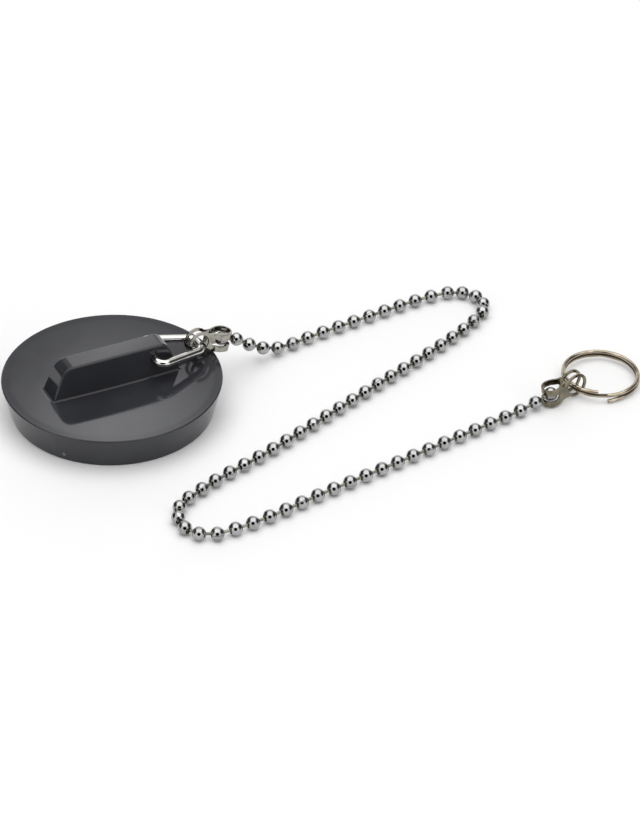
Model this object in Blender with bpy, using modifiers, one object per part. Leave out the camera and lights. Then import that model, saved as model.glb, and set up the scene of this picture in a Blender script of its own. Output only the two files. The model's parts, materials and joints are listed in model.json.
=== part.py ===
"""A sink plug on its bead chain: the moulded plug, the wire loop through its grip, a folded clip
at each end of the chain, and the split ring that hangs on the far clip.

Metres, +Z up. The origin is the centre of the plug's underside, and the plug, the chain and the
ring all lie on the plane Z = 0, as on a table. Lengths are named in millimetres times MM."""

import math

import bmesh
import bpy
from mathutils import Matrix, Vector

MM = 0.001
OVERRUN = 1.0 * MM  # how far a cutter runs past what it cuts
WELD = 0.001 * MM

# The plug: a tapered disc and its grip, moulded as one
DISC_TOP_RADIUS = 25.4 * MM
DISC_FOOT_RADIUS = 23.4 * MM
DISC_HEIGHT = 8.0 * MM
DISC_EDGE_RADIUS = 0.3 * MM
DISC_EDGE_STEPS = 3
DISC_STEPS = 72
DISC_DISH = 0.8 * MM  # how far the disc's top sinks towards its middle
DISC_DISH_STEPS = 4
GRIP_HEADING = math.radians(26.9)
GRIP_LENGTH = 31.0 * MM
GRIP_HEIGHT = 7.1 * MM
GRIP_FOOT_WIDTH = 6.5 * MM
GRIP_TOP_WIDTH = 5.0 * MM
GRIP_END_SLOPE = math.radians(21.6)
GRIP_CORNER_RADIUS = 3.4 * MM
GRIP_CORNER_STEPS = 7
GRIP_EDGE_RADIUS = 0.6 * MM
GRIP_EDGE_STEPS = 3
GRIP_EDGE_ANGLE = math.radians(40.0)  # an edge that turns by less isn't rounded
GRIP_SKIRT = 0.35 * MM  # the small fillet round the grip's foot
WIRE_HOLE_SETBACK = 4.4 * MM  # from the grip's sloping end to the hole's axis, at its height
WIRE_HOLE_RISE = 4.0 * MM  # from the disc's rim to the hole's axis
WIRE_HOLE_SIDES = 20

# The wire loop: one bent wire whose ends meet inside the grip's hole
WIRE_DIAMETER = 1.8 * MM
WIRE_HOLE_ROOM = 0.6 * MM  # the hole's diameter beyond the wire's
LOOP_REACH = 12.1 * MM  # from the hole's axis to the wire's middle at the tip
LOOP_NEAR_HALF_WIDTH = 6.0 * MM  # to the sharp corner beside the grip: the wire stands out
LOOP_FAR_HALF_WIDTH = 5.7 * MM  # a little further on one side than on the other
LOOP_TIP_HALF_WIDTH = 2.6 * MM  # to the sharp corner at the tip
LOOP_SIDE_BEND = 1.7 * MM
LOOP_TIP_BEND = 1.7 * MM
LOOP_END_GAP = 0.4 * MM
LOOP_BEND_STEPS = 9
LOOP_WIRE_RESOLUTION = 4

# The folded strip clips
STRIP_THICKNESS = 0.4 * MM
STRIP_WIDTH = 4.7 * MM
STRIP_EDGE_ANGLE = math.radians(35.0)
EYE_HOLE_DIAMETER = 4.5 * MM
EYE_RIM = 0.75 * MM
EYE_GAP = 1.65 * MM  # between the two eyes' inner faces
EYE_HOLE_SIDES = 32
EYE_RIM_STEPS = 28
BOW_STEPS = 8
NECK_STEPS = 7
NECK_HOLD = 1.3  # over 1, the legs stay wide for longer before they draw in
SLOT_END_STEPS = 8
CLIP_REACH = 6.5 * MM  # from the captive bead to the eyes' axis
CLIP_BEAD_ROOM = 0.15 * MM  # between the captive bead and the strip
SLOT_ROOM = 0.8 * MM  # the slot's height beyond the pin's diameter
LONG_SLOT_REACH = 3.4 * MM  # past the captive bead, in the leg that the bead is let in by
SHORT_SLOT_REACH = 1.0 * MM  # in the other leg
EYE_SEAT = 0.45 * MM  # the near clip's eyes above the disc
RIM_SEAT = 0.1 * MM  # the near clip's strip above the disc's rim
LOOP_SEAT = 0.6 * MM  # the loop's wire above the bottom of the near eyes' holes
HANG_CLEARANCE = 0.12 * MM  # the ring above the bottom of the far eyes' holes
CHAIN_CLIP_TURN = math.radians(7.0)  # from the grip's heading
RING_CLIP_HEADING = math.radians(35.0)
RING_CLIP_RISE = math.radians(5.0)
RING_CLIP_SEAT = 0.3 * MM  # the far clip above the table, where the chain's stiffness holds it
RING_SEAT = 0.05 * MM

# The bead chain
BEAD_DIAMETER = 3.2 * MM
BEAD_GAP = 1.2 * MM  # between two beads of the taut chain
BEAD_WALL = 0.25 * MM
BEAD_COUNT = 69
BEADS_IN_A_RUN = 3
PIN_DIAMETER = 0.7 * MM
PIN_SWING_ROOM = 1.0 * MM  # the mouth's diameter beyond the pin's
HEAD_HOLD = 0.2 * MM  # the pin head's diameter beyond the mouth's
HEAD_CLEARANCE = 0.05 * MM
BEAD_SIDES = 10
BEAD_RING_SHARES = (-1.0, -0.5, 0.0, 0.5, 1.0)  # of the arc from a bead's widest ring to its neck
BEAD_EDGE_ANGLE = math.radians(60.0)
SOCKET_SIDES = 8
SOCKET_RINGS = 6

# How the chain lies: each route point is its place from the captive bead, as shares of the span,
# and the share of the gap between beads that is left there, since the chain is slack in its bends
ROUTE_SPAN = 100 * MM
ROUTE_SHARES = (
    (0.000, 0.000, 0.95),
    (0.064, 0.039, 0.95),
    (0.132, 0.082, 0.95),
    (0.201, 0.133, 0.95),
    (0.273, 0.181, 0.95),
    (0.346, 0.228, 0.95),
    (0.419, 0.275, 0.95),
    (0.494, 0.318, 0.95),
    (0.534, 0.334, 0.92),
    (0.570, 0.335, 0.30),
    (0.601, 0.320, 0.25),
    (0.617, 0.291, 0.25),
    (0.615, 0.255, 0.30),
    (0.594, 0.216, 1.00),
    (0.542, 0.146, 1.00),
    (0.455, 0.045, 1.00),
    (0.366, -0.051, 1.00),
    (0.276, -0.150, 1.00),
    (0.188, -0.247, 1.00),
    (0.097, -0.344, 1.00),
    (0.034, -0.404, 1.00),
    (0.003, -0.435, 0.98),
    (-0.026, -0.468, 0.92),
    (-0.054, -0.501, 0.95),
    (-0.073, -0.535, 0.60),
    (-0.074, -0.574, 0.56),
    (-0.058, -0.609, 0.56),
    (-0.027, -0.629, 0.47),
    (0.014, -0.628, 0.69),
    (0.053, -0.609, 0.95),
    (0.127, -0.562, 0.98),
    (0.230, -0.483, 0.99),
    (0.338, -0.405, 0.99),
    (0.480, -0.301, 0.99),
    (0.621, -0.198, 0.99),
    (0.692, -0.145, 0.99),
    (0.763, -0.094, 0.99),
)
ROUTE_STEPS = 24  # pieces of curve between two route points
START_LIFT_SHARES = (1.0, 0.82, 0.50, 0.23, 0.055)  # of the captive bead's height off the table
END_LIFT_SHARES = (1.0, 0.40)

# The split ring: two turns of flattened wire
RING_DIAMETER = 18.3 * MM
RING_WIRE_WIDTH = 0.94 * MM
RING_WIRE_HEIGHT = 0.86 * MM
RING_WIRE_CORNER = 0.2 * MM
RING_COIL_GAP = 0.06 * MM
RING_HEADING = math.radians(41.4)  # from the eyes to the ring's middle
RING_PULL = 0.35 * MM  # how far past the eyes' axis the ring's wire lies
RING_LOWER_END = math.radians(-82.0)
RING_WIND = math.radians(705.0)  # two turns, less the gap between the ends
RING_STEPS = 72
RING_SPRUNG_ANGLE = math.radians(55.0)  # over which the lower end stands off the coil above
RING_END_DROP = 0.4 * MM
RING_END_SPREAD = 0.35 * MM

# What follows from those sizes
UP = Vector((0.0, 0.0, 1.0))
BEAD_RADIUS = BEAD_DIAMETER / 2
BEAD_PITCH = BEAD_DIAMETER + BEAD_GAP
PIN_RADIUS = PIN_DIAMETER / 2
MOUTH_RADIUS = (PIN_DIAMETER + PIN_SWING_ROOM) / 2
HEAD_RADIUS = MOUTH_RADIUS + HEAD_HOLD / 2
SOCKET_RADIUS = BEAD_RADIUS - BEAD_WALL
PIVOT_OFFSET = SOCKET_RADIUS - HEAD_RADIUS - HEAD_CLEARANCE
EYE_HOLE_RADIUS = EYE_HOLE_DIAMETER / 2
EYE_RADIUS = EYE_HOLE_RADIUS + EYE_RIM
EYE_OFFSET = (EYE_GAP + STRIP_THICKNESS) / 2
BOW_RADIUS = BEAD_RADIUS + CLIP_BEAD_ROOM + STRIP_THICKNESS / 2
GRIP_TOP = DISC_HEIGHT + GRIP_HEIGHT
WIRE_HOLE_RADIUS = (WIRE_DIAMETER + WIRE_HOLE_ROOM) / 2
WIRE_HOLE_REACH = GRIP_LENGTH / 2 - WIRE_HOLE_RISE * math.tan(GRIP_END_SLOPE) - WIRE_HOLE_SETBACK
RING_COIL_PITCH = RING_WIRE_HEIGHT + RING_COIL_GAP
RING_MIDDLE_RADIUS = (RING_DIAMETER - RING_WIRE_WIDTH) / 2

for old in list(bpy.data.objects):
    bpy.data.objects.remove(old)
parts = bpy.data.collections.new("sink_plug")
cutters = bpy.data.collections.new("cutters")
bpy.context.scene.collection.children.link(parts)
bpy.context.scene.collection.children.link(cutters)


def heading_vector(heading, rise=0.0):
    """The unit vector that points along a heading and climbs by a rise."""
    level = math.cos(rise)
    return Vector((math.cos(heading) * level, math.sin(heading) * level, math.sin(rise)))


def frame_at(place, forward, upward=UP):
    """A matrix with X along forward, Y to its left and Z as near upward as that allows."""
    x = forward.normalized()
    y = upward.cross(x).normalized()
    turn = Matrix((x, y, x.cross(y))).transposed().to_4x4()
    return Matrix.Translation(place) @ turn


def material(name, colour, metallic, roughness):
    made = bpy.data.materials.new(name)
    made.use_nodes = True
    shader = made.node_tree.nodes["Principled BSDF"]
    shader.inputs["Base Color"].default_value = (*colour, 1.0)
    shader.inputs["Metallic"].default_value = metallic
    shader.inputs["Roughness"].default_value = roughness
    made.diffuse_color = (*colour, 1.0)
    return made


def smooth(mesh, edge_angle=STRIP_EDGE_ANGLE):
    mesh.shade_smooth()
    mesh.set_sharp_from_angle(angle=edge_angle)


def add_part(name, data, place, finish):
    part = bpy.data.objects.new(name, data)
    part.matrix_world = place
    data.materials.append(finish)
    parts.objects.link(part)
    return part


def add_cutter(name, data, place):
    cutter = bpy.data.objects.new(name, data)
    cutter.matrix_world = place
    cutter.hide_render = True
    cutter.display_type = "WIRE"
    cutters.objects.link(cutter)
    return cutter


def boolean(part, other, operation):
    step = part.modifiers.new(f"{operation.lower()} {other.name}", "BOOLEAN")
    step.operation = operation
    step.object = other


def mesh_from(bm, name):
    mesh = bpy.data.meshes.new(name)
    bm.to_mesh(mesh)
    bm.free()
    return mesh


def mesh_of_curve(curve):
    """The closed mesh that a curve's data makes, its caps welded on."""
    holder = bpy.data.objects.new(curve.name, curve)
    cutters.objects.link(holder)
    graph = bpy.context.evaluated_depsgraph_get()
    mesh = bpy.data.meshes.new_from_object(holder.evaluated_get(graph))
    bpy.data.objects.remove(holder)
    bm = bmesh.new()
    bm.from_mesh(mesh)
    bmesh.ops.remove_doubles(bm, verts=bm.verts, dist=WELD)
    bmesh.ops.recalc_face_normals(bm, faces=bm.faces)
    bm.to_mesh(mesh)
    bm.free()
    return mesh


def add_poly_spline(curve, points, cyclic=False):
    spline = curve.splines.new("POLY")
    spline.points.add(len(points) - 1)
    for spot, point in zip(spline.points, points):
        spot.co = (*point, 1.0)
    spline.use_cyclic_u = cyclic
    return spline


def plate(name, outline, thickness):
    """A flat outline in X and Y, given its thickness both ways along Z."""
    curve = bpy.data.curves.new(name, "CURVE")
    curve.dimensions = "2D"
    curve.fill_mode = "BOTH"
    curve.extrude = thickness / 2
    add_poly_spline(curve, [(x, y, 0.0) for x, y in outline], cyclic=True)
    return mesh_of_curve(curve)


def cylinder(name, radius, length, sides):
    bm = bmesh.new()
    bmesh.ops.create_cone(
        bm, cap_ends=True, segments=sides, radius1=radius, radius2=radius, depth=length
    )
    return mesh_from(bm, name)


def arc(centre, radius, first, last, steps):
    """Points on an arc in the XY plane, both ends among them."""
    turns = [first + (last - first) * step / steps for step in range(steps + 1)]
    return [(centre[0] + radius * math.cos(t), centre[1] + radius * math.sin(t)) for t in turns]


def rounded_path(corners, radii, steps):
    """The points of a path with an arc of its own radius at each inner corner."""
    points = [corners[0]]
    for before, corner, after, radius in zip(corners, corners[1:], corners[2:], radii):
        into = (Vector(corner) - Vector(before)).normalized()
        out = (Vector(after) - Vector(corner)).normalized()
        turn = into.angle_signed(out) * -1
        side = math.copysign(1.0, turn)
        start = Vector(corner) - into * radius * math.tan(abs(turn) / 2)
        centre = start + Vector((-into.y, into.x)) * radius * side
        first = math.atan2(start.y - centre.y, start.x - centre.x)
        points += arc(centre, radius, first, first + turn, steps)
    return points + [corners[-1]]


rubber = material("moulded black", (0.022, 0.023, 0.026), 0.0, 0.22)
loop_metal = material("bright loop wire", (0.80, 0.80, 0.78), 1.0, 0.14)
clip_metal = material("nickelled strip", (0.62, 0.60, 0.55), 1.0, 0.24)
bead_metal = material("bead chrome", (0.78, 0.78, 0.79), 1.0, 0.12)
ring_metal = material("ring nickel", (0.60, 0.55, 0.47), 1.0, 0.22)


# The plug

def dish_height(radius):
    """The height of the disc's top, a shallow dish, at a distance from its middle."""
    return DISC_HEIGHT - DISC_DISH * (1.0 - (radius / DISC_TOP_RADIUS) ** 2)


def disc_profile():
    """Down the disc's outside, from the middle of its top to the middle of its underside."""
    dish = [DISC_TOP_RADIUS * step / DISC_DISH_STEPS for step in range(DISC_DISH_STEPS + 1)]
    dish = [(radius, dish_height(radius)) for radius in dish]
    corners = dish[-2:] + [(DISC_FOOT_RADIUS, 0.0), (0.0, 0.0)]
    edge = rounded_path(corners, (DISC_EDGE_RADIUS, DISC_EDGE_RADIUS), DISC_EDGE_STEPS)
    return dish[:-2] + edge


def disc_mesh():
    bm = bmesh.new()
    spots = [bm.verts.new((x, 0.0, z)) for x, z in disc_profile()]
    for upper, lower in zip(spots, spots[1:]):
        bm.edges.new((upper, lower))
    return mesh_from(bm, "disc profile")


def grip_outline():
    """The grip from its side: X along it and Y up, its ends sloping in to rounded top corners."""
    sunk = DISC_HEIGHT - OVERRUN
    corner_x = GRIP_LENGTH / 2 - GRIP_HEIGHT * math.tan(GRIP_END_SLOPE)
    turn = math.pi / 2 - GRIP_END_SLOPE
    centre = (
        corner_x - GRIP_CORNER_RADIUS * math.tan(turn / 2),
        GRIP_TOP - GRIP_CORNER_RADIUS,
    )
    right = [(GRIP_LENGTH / 2 + OVERRUN * math.tan(GRIP_END_SLOPE), sunk)]
    right += arc(centre, GRIP_CORNER_RADIUS, GRIP_END_SLOPE, math.pi / 2, GRIP_CORNER_STEPS)
    return right + [(-x, y) for x, y in reversed(right)]


def grip_mesh():
    """The grip's side outline given its width, then narrowed evenly from foot to top."""
    mesh = plate("grip", grip_outline(), GRIP_FOOT_WIDTH)
    top_share = GRIP_TOP_WIDTH / GRIP_FOOT_WIDTH
    for spot in mesh.vertices:
        rise_share = (spot.co.y - DISC_HEIGHT) / GRIP_HEIGHT
        spot.co.z *= 1.0 + (top_share - 1.0) * rise_share
    return mesh


def skirt_mesh():
    """The fillet round the grip's foot, a low block whose sides lean in to the grip."""
    bm = bmesh.new()
    bmesh.ops.create_cube(bm, size=1.0)
    low = dish_height(0.0) - GRIP_SKIRT
    high = dish_height(GRIP_LENGTH / 2) + GRIP_SKIRT
    for spot in bm.verts:
        flare = GRIP_SKIRT * (2.0 if spot.co.z < 0 else 0.0)
        lean = (high - DISC_HEIGHT) * math.tan(GRIP_END_SLOPE)
        spot.co.x = math.copysign(GRIP_LENGTH / 2 - lean + flare, spot.co.x)
        spot.co.y = math.copysign(GRIP_FOOT_WIDTH / 2 - lean / 2 + flare, spot.co.y)
        spot.co.z = low if spot.co.z < 0 else high
    return mesh_from(bm, "grip skirt")


def build_plug():
    grip_place = Matrix.Rotation(GRIP_HEADING, 4, "Z")
    upright = Matrix.Rotation(math.pi / 2, 4, "X")
    plug = add_part("plug", disc_mesh(), Matrix.Identity(4), rubber)
    turned = plug.modifiers.new("turned disc", "SCREW")
    turned.steps = DISC_STEPS
    turned.render_steps = DISC_STEPS
    turned.use_merge_vertices = True
    turned.merge_threshold = WELD
    grip = add_cutter("grip body", grip_mesh(), grip_place @ upright)
    edges = grip.modifiers.new("soft edges", "BEVEL")
    edges.width = GRIP_EDGE_RADIUS
    edges.segments = GRIP_EDGE_STEPS
    edges.limit_method = "ANGLE"
    edges.angle_limit = GRIP_EDGE_ANGLE
    boolean(plug, grip, "UNION")
    boolean(plug, add_cutter("grip skirt", skirt_mesh(), grip_place), "UNION")
    through = GRIP_FOOT_WIDTH + 2 * OVERRUN
    hole = cylinder("wire hole", WIRE_HOLE_RADIUS, through, WIRE_HOLE_SIDES)
    boolean(plug, add_cutter("wire hole", hole, hinge_place @ upright), "DIFFERENCE")


# The wire loop

hole_centre = heading_vector(GRIP_HEADING) * WIRE_HOLE_REACH
hole_centre.z = DISC_HEIGHT + WIRE_HOLE_RISE
hinge_place = frame_at(hole_centre, heading_vector(GRIP_HEADING))
eye_height = DISC_HEIGHT + EYE_SEAT + EYE_RADIUS
tip_height = eye_height - EYE_HOLE_RADIUS + WIRE_DIAMETER / 2 + LOOP_SEAT
loop_rise = math.asin((tip_height - hole_centre.z) / LOOP_REACH)
loop_place = frame_at(hole_centre, heading_vector(GRIP_HEADING, loop_rise))
loop_tip = loop_place @ Vector((LOOP_REACH, 0.0, 0.0))


def build_loop():
    """The wire runs from the middle of the hole round the loop and back into the hole."""
    corners = [
        (0.0, LOOP_END_GAP / 2),
        (0.0, LOOP_FAR_HALF_WIDTH),
        (LOOP_REACH, LOOP_TIP_HALF_WIDTH),
        (LOOP_REACH, -LOOP_TIP_HALF_WIDTH),
        (0.0, -LOOP_NEAR_HALF_WIDTH),
        (0.0, -LOOP_END_GAP / 2),
    ]
    bends = (LOOP_SIDE_BEND, LOOP_TIP_BEND, LOOP_TIP_BEND, LOOP_SIDE_BEND)
    curve = bpy.data.curves.new("wire_loop", "CURVE")
    curve.dimensions = "3D"
    curve.bevel_depth = WIRE_DIAMETER / 2
    curve.bevel_resolution = LOOP_WIRE_RESOLUTION
    curve.use_fill_caps = True
    path = rounded_path(corners, bends, LOOP_BEND_STEPS)
    add_poly_spline(curve, [(x, y, 0.0) for x, y in path])
    add_part("wire_loop", curve, loop_place, loop_metal)


# The folded clips

def clip_band():
    """Half of the strip from above, from the fold's middle to the far side of its eye. X runs
    from the captive bead to the eye, and the strip is still as wide as the eye."""
    pinch = CLIP_REACH - EYE_RADIUS
    points = arc((0.0, 0.0), BOW_RADIUS, math.pi, math.pi / 2, BOW_STEPS)
    for step in range(1, NECK_STEPS + 1):
        share = step / NECK_STEPS
        drawn_in = (1.0 + math.cos(math.pi * share**NECK_HOLD)) / 2
        points.append((pinch * share, EYE_OFFSET + (BOW_RADIUS - EYE_OFFSET) * drawn_in))
    points.append((CLIP_REACH + EYE_RADIUS + OVERRUN, EYE_OFFSET))
    points[0] = (-BOW_RADIUS, 0.0)
    half_height = EYE_RADIUS + OVERRUN
    bm = bmesh.new()
    spots = [bm.verts.new((x, y, -half_height)) for x, y in points]
    edges = [bm.edges.new(pair) for pair in zip(spots, spots[1:])]
    raised = bmesh.ops.extrude_edge_only(bm, edges=edges)["geom"]
    risen = [item for item in raised if isinstance(item, bmesh.types.BMVert)]
    bmesh.ops.translate(bm, verts=risen, vec=(0.0, 0.0, 2 * half_height))
    return mesh_from(bm, "clip strip")


def clip_side_outline():
    """The flat strip with its round eye end, seen from the side."""
    start = -(BOW_RADIUS + STRIP_THICKNESS + OVERRUN)
    meets = math.pi - math.asin(STRIP_WIDTH / 2 / EYE_RADIUS)
    outline = [(start, -STRIP_WIDTH / 2)]
    outline += arc((CLIP_REACH, 0.0), EYE_RADIUS, -meets, meets, EYE_RIM_STEPS)
    return outline + [(start, STRIP_WIDTH / 2)]


def slot_outline(reach):
    """The slot that the pin slides in, from beyond the fold to its round end."""
    half = (PIN_DIAMETER + SLOT_ROOM) / 2
    start = -(BOW_RADIUS + STRIP_THICKNESS + OVERRUN)
    round_end = arc((reach - half, 0.0), half, -math.pi / 2, math.pi / 2, SLOT_END_STEPS)
    return [(start, -half)] + round_end + [(start, half)]


def build_clip(name, place, origin_x):
    """A folded clip whose own frame has X from the captive bead to the eyes. origin_x is where
    along it the clip's joint lies, and place is where that joint is."""
    shift = Matrix.Translation((-origin_x, 0.0, 0.0))
    side_on = shift @ Matrix.Rotation(math.pi / 2, 4, "X")
    across = 2 * (BOW_RADIUS + STRIP_THICKNESS + OVERRUN)
    strip = clip_band()
    strip.transform(shift)
    clip = add_part(name, strip, place, clip_metal)
    halves = clip.modifiers.new("both legs", "MIRROR")
    halves.use_axis = (False, True, False)
    halves.merge_threshold = WELD
    body = clip.modifiers.new("strip thickness", "SOLIDIFY")
    body.thickness = STRIP_THICKNESS
    body.offset = 0.0
    body.use_even_offset = True
    shape = plate(f"{name} side", clip_side_outline(), across)
    shape.transform(side_on)
    for leg, reach, side in (("long", LONG_SLOT_REACH, 1), ("short", SHORT_SLOT_REACH, -1)):
        slot = plate(f"{name} {leg} slot", slot_outline(reach), across)
        slot.transform(Matrix.Translation((0.0, side * (across / 2 - WELD), 0.0)) @ side_on)
        boolean(clip, add_cutter(f"{name} {leg} slot", slot, place), "DIFFERENCE")
    hole = cylinder(f"{name} eye", EYE_HOLE_RADIUS, across, EYE_HOLE_SIDES)
    hole.transform(Matrix.Translation((CLIP_REACH, 0.0, 0.0)) @ side_on)
    boolean(clip, add_cutter(f"{name} side", shape, place), "INTERSECT")
    boolean(clip, add_cutter(f"{name} eye", hole, place), "DIFFERENCE")
    smooth(clip.data)
    return clip


# Where the near clip lies: its eyes stand just off the disc, and its strip clears the disc's rim
clip_heading = GRIP_HEADING + CHAIN_CLIP_TURN
chain_eye = Vector((loop_tip.x, loop_tip.y, eye_height))
eye_lift = eye_height - DISC_HEIGHT - RIM_SEAT
eye_to_rim = DISC_TOP_RADIUS - Vector((chain_eye.x, chain_eye.y)).length
clip_fall = math.acos(STRIP_WIDTH / 2 / math.hypot(eye_lift, eye_to_rim))
clip_fall -= math.atan2(eye_to_rim, eye_lift)
chain_clip_forward = -heading_vector(clip_heading, -clip_fall)
chain_clip_place = frame_at(chain_eye, chain_clip_forward)
first_bead = chain_eye - chain_clip_forward * CLIP_REACH


# The bead chain

def route_curve():
    """A smooth curve through the route's points, run on straight until it would hold the taut
    chain. Each point on it is a place in plan and the share of the bead gap that is left there."""
    spots = [
        Vector((first_bead.x + x * ROUTE_SPAN, first_bead.y + y * ROUTE_SPAN, slack))
        for x, y, slack in ROUTE_SHARES
    ]
    run_on = spots[-1] - spots[-2]
    lengths = [(b.xy - a.xy).length for a, b in zip(spots, spots[1:])]
    while sum(lengths) < BEAD_COUNT * BEAD_PITCH:
        spots.append(spots[-1] + run_on)
        lengths.append(run_on.xy.length)
    slopes = [(spots[1] - spots[0]) / lengths[0]]
    for place in range(1, len(spots) - 1):
        before, after = lengths[place - 1], lengths[place]
        into = (spots[place] - spots[place - 1]) / before
        out = (spots[place + 1] - spots[place]) / after
        slopes.append((into * after + out * before) / (before + after))
    slopes.append((spots[-1] - spots[-2]) / lengths[-1])
    curve = []
    for a, b, u, v, length in zip(spots, spots[1:], slopes, slopes[1:], lengths):
        for step in range(ROUTE_STEPS):
            t = step / ROUTE_STEPS
            blend = t * t * (3 - 2 * t)
            ease_out = t * (1 - t) * (1 - t) * length
            ease_in = t * t * (1 - t) * length
            spot = a + (b - a) * blend + u * ease_out - v * ease_in
            curve.append(Vector((spot.x, spot.y, a.z + (b.z - a.z) * t)))
    return curve


def bead_centres():
    """Beads set one pitch apart along the route, with their heights by their place in the chain."""
    heights = [BEAD_RADIUS] * BEAD_COUNT
    for bead, share in enumerate(START_LIFT_SHARES):
        heights[bead] += (first_bead.z - BEAD_RADIUS) * share
    for bead, share in enumerate(END_LIFT_SHARES):
        heights[BEAD_COUNT - 1 - bead] += (last_bead_height - BEAD_RADIUS) * share
    curve = route_curve()
    centres = [Vector((first_bead.x, first_bead.y, heights[0]))]
    position = 0
    for height in heights[1:]:
        last = centres[-1]
        while True:
            here, there = curve[position], curve[position + 1]
            pitch = BEAD_DIAMETER + BEAD_GAP * there.z
            far = (Vector((there.x, there.y, height)) - last).length
            if far >= pitch:
                break
            position += 1
        near = (Vector((here.x, here.y, height)) - last).length
        part_way = min(1.0, max(0.0, (pitch - near) / (far - near)))
        spot = here.lerp(there, part_way)
        centres.append(Vector((spot.x, spot.y, height)))
    return centres


# The last bead sits where the far clip's strip and eyes just clear the table
strip_drop = STRIP_WIDTH / 2 * math.cos(RING_CLIP_RISE)
strip_drop += (BOW_RADIUS + STRIP_THICKNESS / 2) * math.sin(RING_CLIP_RISE)
eye_drop = EYE_RADIUS - CLIP_REACH * math.sin(RING_CLIP_RISE)
last_bead_height = RING_CLIP_SEAT + max(strip_drop, eye_drop)
centres = bead_centres()


def towards(bead):
    """The direction from this bead to the next; at the last bead, the one that led to it."""
    bead = min(bead, BEAD_COUNT - 2)
    return (centres[bead + 1] - centres[bead]).normalized()


def ball_stations(centre, radius, into, out):
    """Where a ball's rings lie along the chain, each with its radius, from neck to neck."""
    neck = math.acos(PIN_RADIUS / radius)
    stations = []
    for share in BEAD_RING_SHARES:
        along = into if share < 0 else out
        place = centre + along * radius * math.sin(neck * share)
        stations.append((place, radius * math.cos(neck * share)))
    return stations


def run_mesh(name, first, last, origin):
    """The beads of one run and the necks between them, with the pin that holds the next run."""
    stations = []
    for bead in range(first, last + 1):
        into = towards(max(bead - 1, 0))
        stations += ball_stations(centres[bead], BEAD_RADIUS, into, towards(bead))
    if last + 1 < BEAD_COUNT:
        out = towards(last)
        stations += ball_stations(centres[last + 1] - out * PIVOT_OFFSET, HEAD_RADIUS, out, out)
    curve = bpy.data.curves.new(name, "CURVE")
    curve.dimensions = "3D"
    curve.bevel_depth = 1.0
    curve.bevel_resolution = (BEAD_SIDES - 4) // 2
    curve.use_fill_caps = True
    spline = add_poly_spline(curve, [place - origin for place, radius in stations])
    for spot, (place, radius) in zip(spline.points, stations):
        spot.radius = radius
    return mesh_of_curve(curve)


def socket_mesh():
    """The hollow of a bead, its poles on Z."""
    bm = bmesh.new()
    bmesh.ops.create_uvsphere(
        bm, u_segments=SOCKET_SIDES, v_segments=SOCKET_RINGS, radius=SOCKET_RADIUS
    )
    return mesh_from(bm, "bead hollow")


def build_chain():
    """Each run is three beads, and its first bead is hollow round the head of the pin before it.
    Gives each run's hinge: the runs turn level and upright by turns."""
    hollow = socket_mesh()
    mouth_radius = MOUTH_RADIUS / math.cos(math.pi / BEAD_SIDES)
    mouth = cylinder("bead mouth", mouth_radius, BEAD_DIAMETER, BEAD_SIDES)
    mouth.transform(Matrix.Translation((0.0, 0.0, -BEAD_DIAMETER / 2)))
    hinges = []
    for run, first in enumerate(range(0, BEAD_COUNT, BEADS_IN_A_RUN)):
        name = f"chain_run_{run:02d}"
        last = min(first + BEADS_IN_A_RUN, BEAD_COUNT) - 1
        into = towards(max(first - 1, 0))
        pivot = centres[first] - into * PIVOT_OFFSET if first else centres[first]
        mesh = run_mesh(name, first, last, pivot)
        piece = add_part(name, mesh, Matrix.Translation(pivot), bead_metal)
        if first:
            place = into.to_track_quat("Z", "Y").to_matrix().to_4x4()
            place.translation = centres[first]
            boolean(piece, add_cutter(f"{name} hollow", hollow, place), "DIFFERENCE")
            boolean(piece, add_cutter(f"{name} mouth", mouth, place), "DIFFERENCE")
        smooth(piece.data, BEAD_EDGE_ANGLE)
        sign = 1 if run % 4 < 2 else -1
        hinges.append((name, pivot, sign * (UP.cross(into).normalized() if run % 2 else UP)))
    return hinges


# The far clip and the split ring

last_bead = centres[-1]
ring_clip_forward = heading_vector(RING_CLIP_HEADING, RING_CLIP_RISE)
ring_clip_place = frame_at(last_bead, ring_clip_forward)
ring_eye = last_bead + ring_clip_forward * CLIP_REACH
half_wire = RING_WIRE_WIDTH / 2
ring_bottom = ring_eye.z - math.sqrt(EYE_HOLE_RADIUS**2 - half_wire**2) + HANG_CLEARANCE
eye_climb = RING_COIL_PITCH * ((RING_HEADING + math.pi - RING_LOWER_END) / math.tau)
ring_reach = RING_MIDDLE_RADIUS + RING_PULL
ring_tilt = math.asin((ring_bottom - eye_climb - RING_SEAT - RING_END_DROP) / ring_reach)
ring_forward = heading_vector(RING_HEADING, -ring_tilt)
ring_centre = Vector((ring_eye.x, ring_eye.y, ring_bottom - eye_climb))
ring_centre += ring_forward * ring_reach


def ring_path():
    """Two even turns of wire that climb by the coils' pitch, so that the ends pass each other. The
    lower end is sprung down and out."""
    points = []
    for step in range(RING_STEPS + 1):
        wound = RING_WIND * step / RING_STEPS
        turn = RING_LOWER_END - RING_HEADING + wound
        sprung = max(0.0, 1.0 - wound / RING_SPRUNG_ANGLE) ** 2
        height = RING_WIRE_HEIGHT / 2 + RING_COIL_PITCH * wound / math.tau
        radius = RING_MIDDLE_RADIUS + RING_END_SPREAD * sprung
        x = radius * math.cos(turn)
        y = radius * math.sin(turn)
        points.append((x, y, height - RING_END_DROP * sprung))
    return points


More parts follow.
